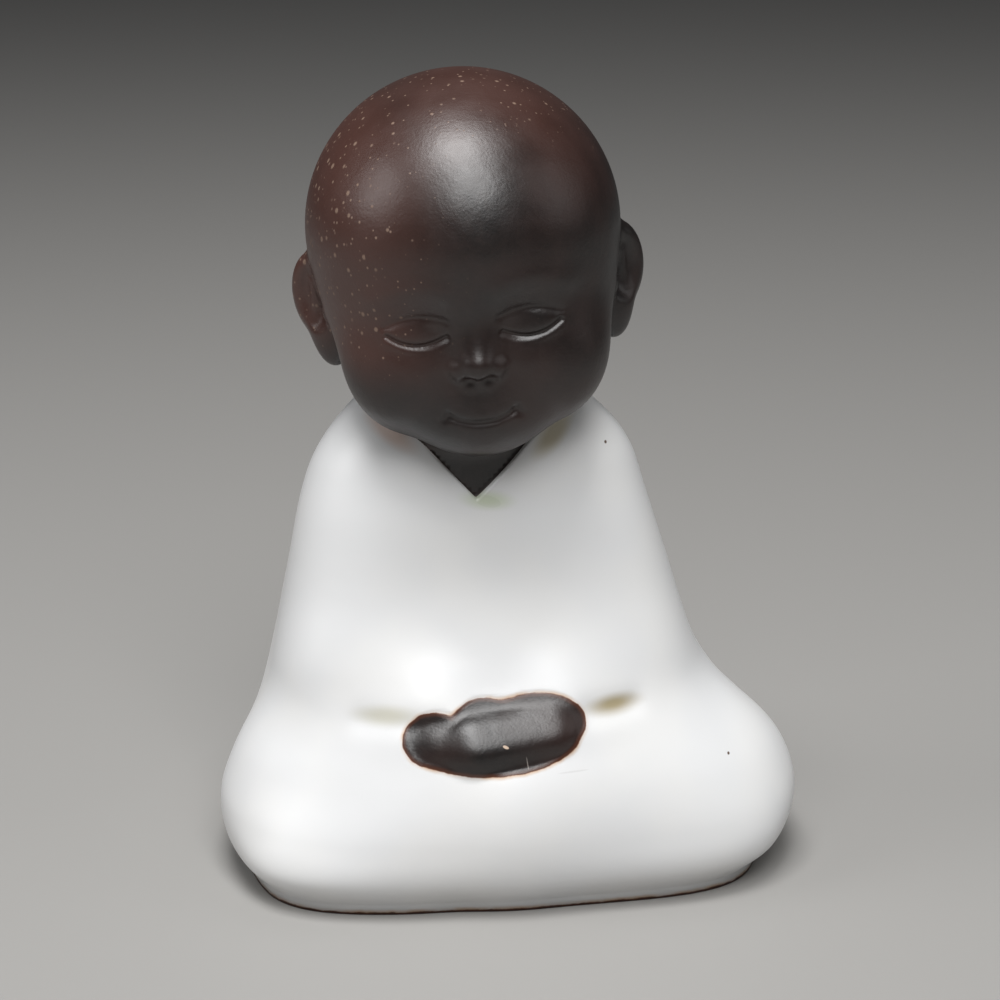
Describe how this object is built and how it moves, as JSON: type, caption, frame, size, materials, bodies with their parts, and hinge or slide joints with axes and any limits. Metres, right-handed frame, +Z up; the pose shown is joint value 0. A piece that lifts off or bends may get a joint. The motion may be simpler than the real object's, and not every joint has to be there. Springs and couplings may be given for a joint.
{
  "type": "baby monk figurine",
  "caption": "Small ceramic figurine of a seated baby monk with bowed bald head, closed eyes, long ears, hands in the lap and a smooth bell-shaped robe on a flat foot.",
  "frame": {"origin": "on the table under the middle of the figure's outer box", "axes": "+Z up, the figure faces -Y, +X is to its left hand"},
  "size_m": [0.049, 0.037, 0.0666],
  "materials": {
    "glazed_clay": "satin white glaze over dark brown clay; head, neck, hands and foot are bare clay"
  },
  "bodies": {
    "root": {"monk_figure": "glazed_clay"}
  },
  "joints": []
}
